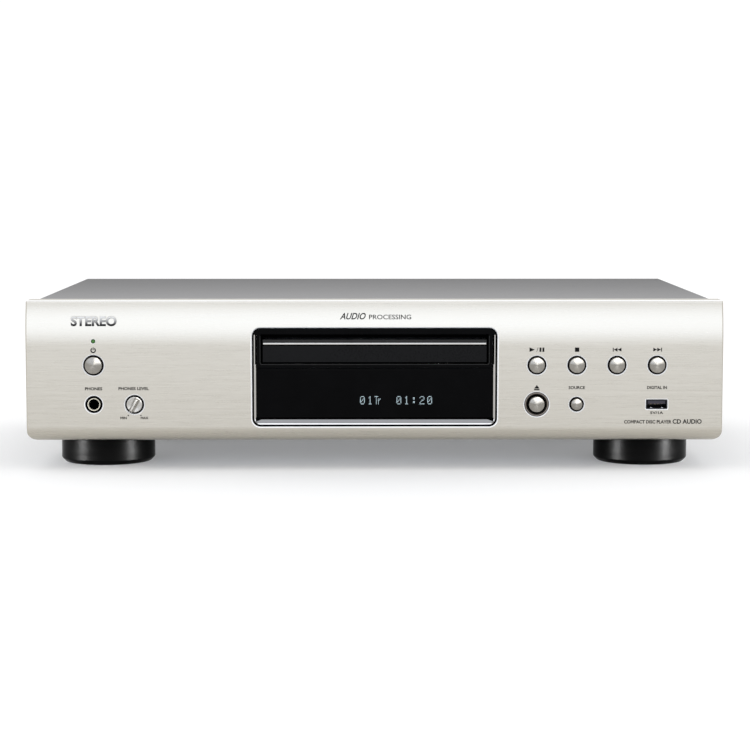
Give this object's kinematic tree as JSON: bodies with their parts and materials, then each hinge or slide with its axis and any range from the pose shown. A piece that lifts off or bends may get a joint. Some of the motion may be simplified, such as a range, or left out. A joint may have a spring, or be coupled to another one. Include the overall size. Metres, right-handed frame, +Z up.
{
  "type": "compact disc player",
  "caption": "Full-width hi-fi disc player with a front-loading tray, a display window, push buttons and a level knob, on round feet.",
  "frame": {"origin": "middle of the overall footprint, on the surface that the feet stand on", "axes": "+X to the right seen from the front, +Y to the back, +Z up"},
  "size_m": [0.434, 0.275, 0.106],
  "materials": {
    "silver_fascia": "champagne silver anodised, finely brushed from side to side",
    "spun_caps": "spun silver with fine circular turning marks",
    "eject_surround": "dark bronze anodised",
    "bright_trim": "bright plated",
    "gloss_black": "piano black moulded",
    "smoked_lens": "polished smoked acrylic",
    "matte_black": "fine textured black moulded",
    "cover_paint": "satin grey painted steel sheet",
    "zinc_sheet": "zinc plated steel sheet",
    "rear_panel_paint": "black painted steel",
    "circuit_board": "green solder mask",
    "display_glass": "fluorescent display tube, dark when off",
    "led_green": "green lit",
    "gold_contact": "gold plated",
    "bright_steel": "bright",
    "laminated_core": "varnished laminations",
    "coil_tape": "yellow winding tape",
    "acetal_white": "natural acetal",
    "loader_plastic": "dark grey moulded",
    "rubber": "black",
    "capacitor_sleeve": "dark blue shrink sleeve",
    "pickup_lens": "clear polymer"
  },
  "bodies": {
    "chassis": {"fascia": "silver_fascia", "window_trim": "bright_trim", "window_bezel": "gloss_black", "display_lens": "smoked_lens", "eject_ring": "eject_surround", "headphone_jack": "matte_black", "headphone_sleeve": "gold_contact", "usb_shell": "bright_steel", "usb_tongue": "matte_black", "front_board": "circuit_board", "display_tube": "display_glass", "level_control": "matte_black", "power_led": "led_green", "top_cover": "cover_paint", "bottom_chassis": "zinc_sheet", "front_frame": "zinc_sheet", "foot_front_left": "gloss_black", "foot_front_right": "gloss_black", "foot_rear_left": "gloss_black", "foot_rear_right": "gloss_black", "rear_panel": "rear_panel_paint", "audio_sockets": "matte_black", "digital_sockets": "matte_black", "ac_inlet": "matte_black", "main_board": "circuit_board", "filter_capacitor_front": "capacitor_sleeve", "filter_capacitor_rear": "capacitor_sleeve", "transformer_core": "laminated_core", "transformer_coil": "coil_tape", "heatsink": "matte_black", "loader_frame": "loader_plastic", "clamp_bridge": "zinc_sheet", "loading_motor": "bright_steel", "drive_belt": "rubber"},
    "power_button": {"power_button": "spun_caps"},
    "play_button": {"play_button": "spun_caps"},
    "stop_button": {"stop_button": "spun_caps"},
    "previous_button": {"previous_button": "spun_caps"},
    "next_button": {"next_button": "spun_caps"},
    "eject_button": {"eject_button": "spun_caps"},
    "source_button": {"source_button": "spun_caps"},
    "level_knob": {"level_knob": "spun_caps"},
    "tray": {"disc_tray": "matte_black", "tray_front": "gloss_black", "tray_trim": "bright_trim"},
    "tray_gear": {"tray_gear": "acetal_white"},
    "belt_wheel": {"belt_wheel": "acetal_white"},
    "motor_pulley": {"motor_pulley": "acetal_white"},
    "traverse": {"traverse_plate": "loader_plastic", "guide_rod_main": "bright_steel", "guide_rod_sub": "bright_steel", "spindle_motor": "bright_steel", "sled_motor": "bright_steel"},
    "turntable": {"turntable": "matte_black"},
    "pickup": {"pickup_sled": "matte_black"},
    "lens": {"pickup_lens": "pickup_lens"},
    "sled_gear": {"sled_gear": "acetal_white"},
    "sled_motor_gear": {"sled_motor_gear": "acetal_white"},
    "cam_slider": {"cam_slider": "acetal_white"},
    "clamp_puck": {"clamp_puck": "acetal_white"}
  },
  "joints": [
    {"name": "power_press", "type": "slide", "parent": "chassis", "child": "power_button", "axis": [0, 1, 0], "range_m": [0, 0.0012], "stiffness_N_per_m": 300, "springref_m": -0.002},
    {"name": "play_press", "type": "slide", "parent": "chassis", "child": "play_button", "axis": [0, 1, 0], "range_m": [0, 0.0012], "stiffness_N_per_m": 300, "springref_m": -0.002},
    {"name": "stop_press", "type": "slide", "parent": "chassis", "child": "stop_button", "axis": [0, 1, 0], "range_m": [0, 0.0012], "stiffness_N_per_m": 300, "springref_m": -0.002},
    {"name": "previous_press", "type": "slide", "parent": "chassis", "child": "previous_button", "axis": [0, 1, 0], "range_m": [0, 0.0012], "stiffness_N_per_m": 300, "springref_m": -0.002},
    {"name": "next_press", "type": "slide", "parent": "chassis", "child": "next_button", "axis": [0, 1, 0], "range_m": [0, 0.0012], "stiffness_N_per_m": 300, "springref_m": -0.002},
    {"name": "eject_press", "type": "slide", "parent": "chassis", "child": "eject_button", "axis": [0, 1, 0], "range_m": [0, 0.0012], "stiffness_N_per_m": 300, "springref_m": -0.002},
    {"name": "source_press", "type": "slide", "parent": "chassis", "child": "source_button", "axis": [0, 1, 0], "range_m": [0, 0.0012], "stiffness_N_per_m": 300, "springref_m": -0.002},
    {"name": "level_turn", "type": "hinge", "parent": "chassis", "child": "level_knob", "pos_m": [-0.1496, -0.132, 0.0413], "axis": [0, 1, 0], "range_deg": [0, 304]},
    {"name": "tray_slide", "type": "slide", "parent": "chassis", "child": "tray", "axis": [0, -1, 0], "range_m": [0, 0.138]},
    {"name": "tray_gear_turn", "type": "hinge", "parent": "chassis", "child": "tray_gear", "pos_m": [0.04, -0.094, 0.06], "axis": [0, 0, 1], "range_deg": [-665, 5]},
    {"name": "belt_wheel_turn", "type": "hinge", "parent": "chassis", "child": "belt_wheel", "pos_m": [0.022, -0.094, 0.05], "axis": [0, 0, 1], "range_deg": [-5, 1325]},
    {"name": "motor_pulley_turn", "type": "hinge", "parent": "chassis", "child": "motor_pulley", "pos_m": [-0.02, -0.094, 0.05], "axis": [0, 0, 1], "range_deg": [-5, 3960]},
    {"name": "traverse_tilt", "type": "hinge", "parent": "chassis", "child": "traverse", "pos_m": [0, 0.052, 0.058], "axis": [1, 0, 0], "range_deg": [0, 2.75]},
    {"name": "cam_slide", "type": "slide", "parent": "chassis", "child": "cam_slider", "axis": [1, 0, 0], "range_m": [0, 0.0141]},
    {"name": "turntable_spin", "type": "hinge", "parent": "traverse", "child": "turntable", "pos_m": [0, -0.062, 0.075], "axis": [0, 0, 1], "continuous": true},
    {"name": "clamp_spin", "type": "hinge", "parent": "chassis", "child": "clamp_puck", "pos_m": [0, -0.062, 0.08], "axis": [0, 0, 1], "continuous": true},
    {"name": "sled_slide", "type": "slide", "parent": "traverse", "child": "pickup", "axis": [0, 1, 0], "range_m": [0, 0.035]},
    {"name": "sled_gear_turn", "type": "hinge", "parent": "traverse", "child": "sled_gear", "pos_m": [0.0288, -0.006, 0.062], "axis": [0, 0, 1], "range_deg": [-420, 5]},
    {"name": "sled_motor_turn", "type": "hinge", "parent": "traverse", "child": "sled_motor_gear", "pos_m": [0.02031, 0.00248, 0.061], "axis": [0, 0, 1], "range_deg": [-5, 1260]},
    {"name": "lens_focus", "type": "slide", "parent": "pickup", "child": "lens", "axis": [0, 0, 1], "range_m": [-0.0008, 0.0008], "stiffness_N_per_m": 40}
  ],
  "couplings": [
    {"joint": "tray_gear_turn", "follows": "tray_slide", "rad_per_m": -83.333},
    {"joint": "belt_wheel_turn", "follows": "tray_slide", "rad_per_m": 166.67},
    {"joint": "motor_pulley_turn", "follows": "tray_slide", "rad_per_m": 500},
    {"joint": "cam_slide", "follows": "traverse_tilt", "m_per_rad": 0.2922},
    {"joint": "clamp_spin", "follows": "turntable_spin", "ratio": 1},
    {"joint": "sled_gear_turn", "follows": "sled_slide", "rad_per_m": -208.33},
    {"joint": "sled_motor_turn", "follows": "sled_slide", "rad_per_m": 625}
  ]
}
